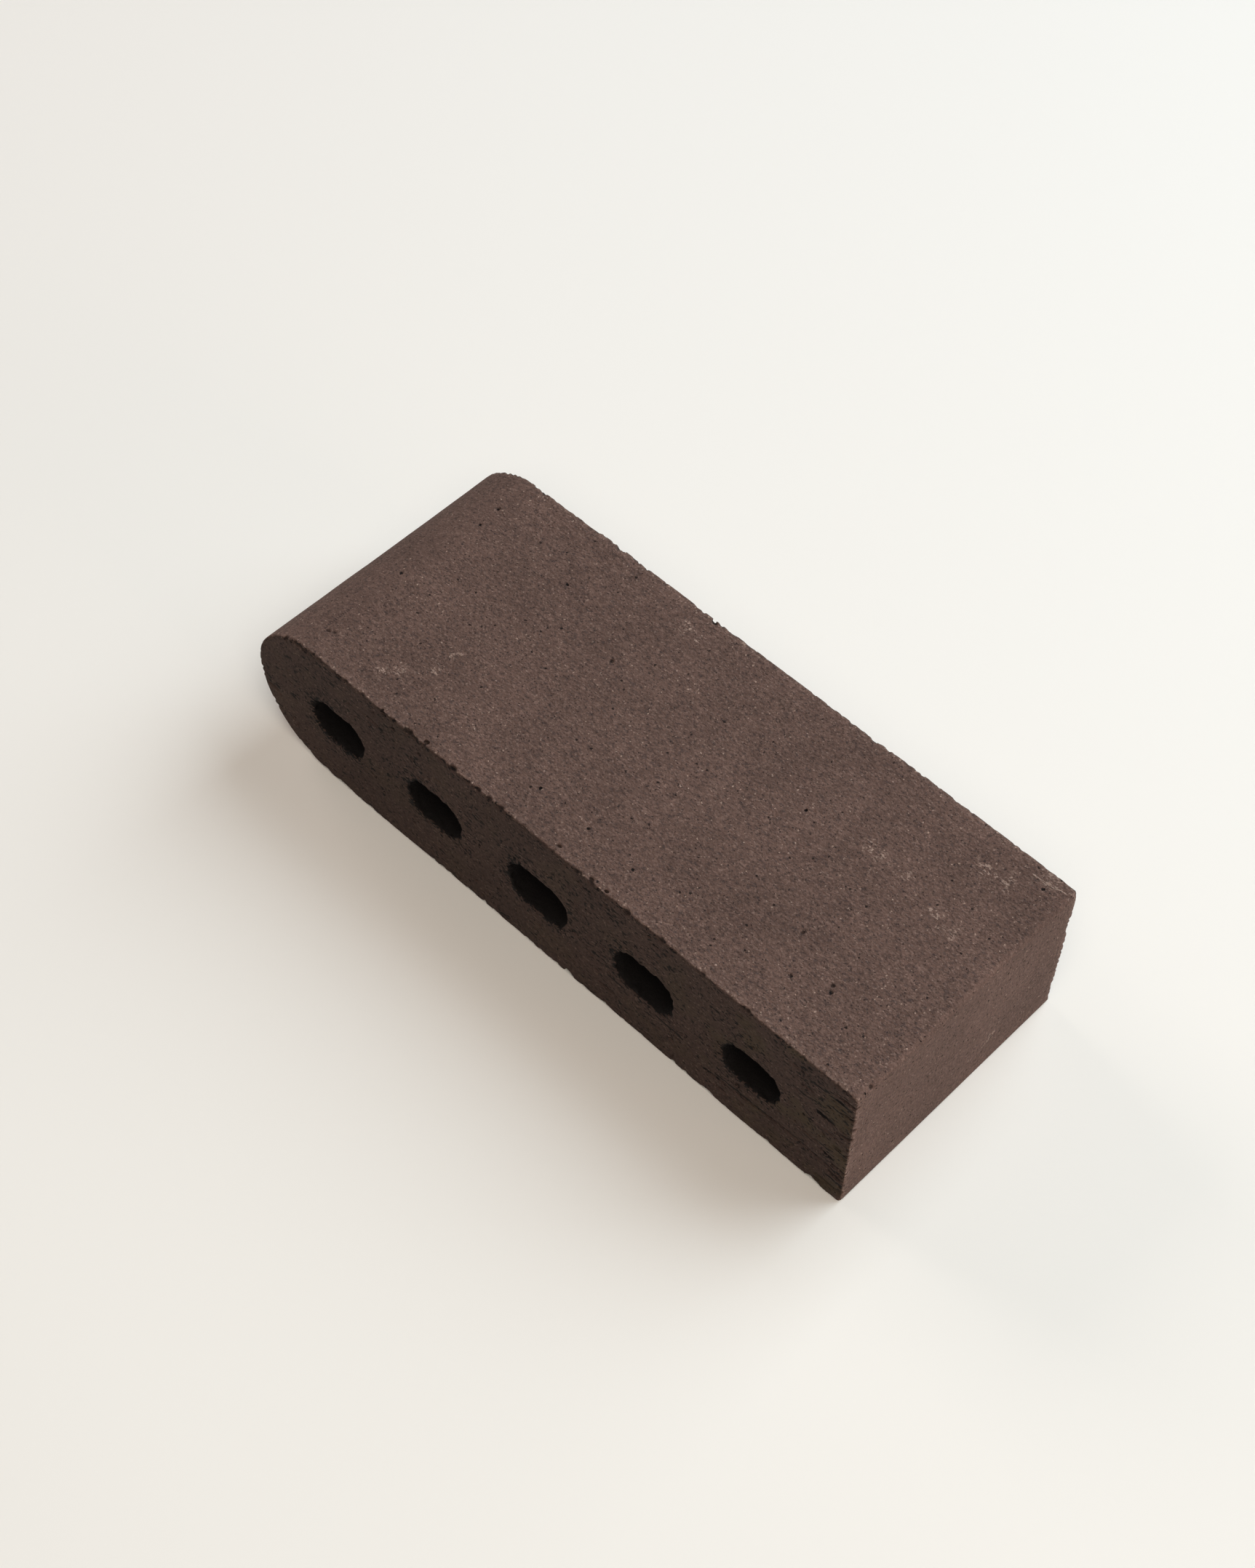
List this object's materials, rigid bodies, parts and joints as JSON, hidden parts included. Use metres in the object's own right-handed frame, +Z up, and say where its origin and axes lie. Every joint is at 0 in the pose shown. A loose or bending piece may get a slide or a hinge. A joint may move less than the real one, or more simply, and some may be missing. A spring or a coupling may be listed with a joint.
{
  "type": "bullnose clay paver",
  "caption": "Rectangular fired clay paver with a rounded nose, a square end and a row of core holes between its wire-cut sides, for edging steps, copings and paths.",
  "frame": {"origin": "on the bed plane, at the middle of the length and the width", "axes": "+X along the length, from the round nose to the square end; +Y across the width, from one wire-cut side to the other; +Z up, out of the wearing face"},
  "size_m": [0.236, 0.092, 0.057],
  "materials": {
    "fired_clay": "matt unglazed fired clay, dark brown with a fine sandy grain"
  },
  "bodies": {
    "root": {"paver": "fired_clay"}
  },
  "joints": []
}
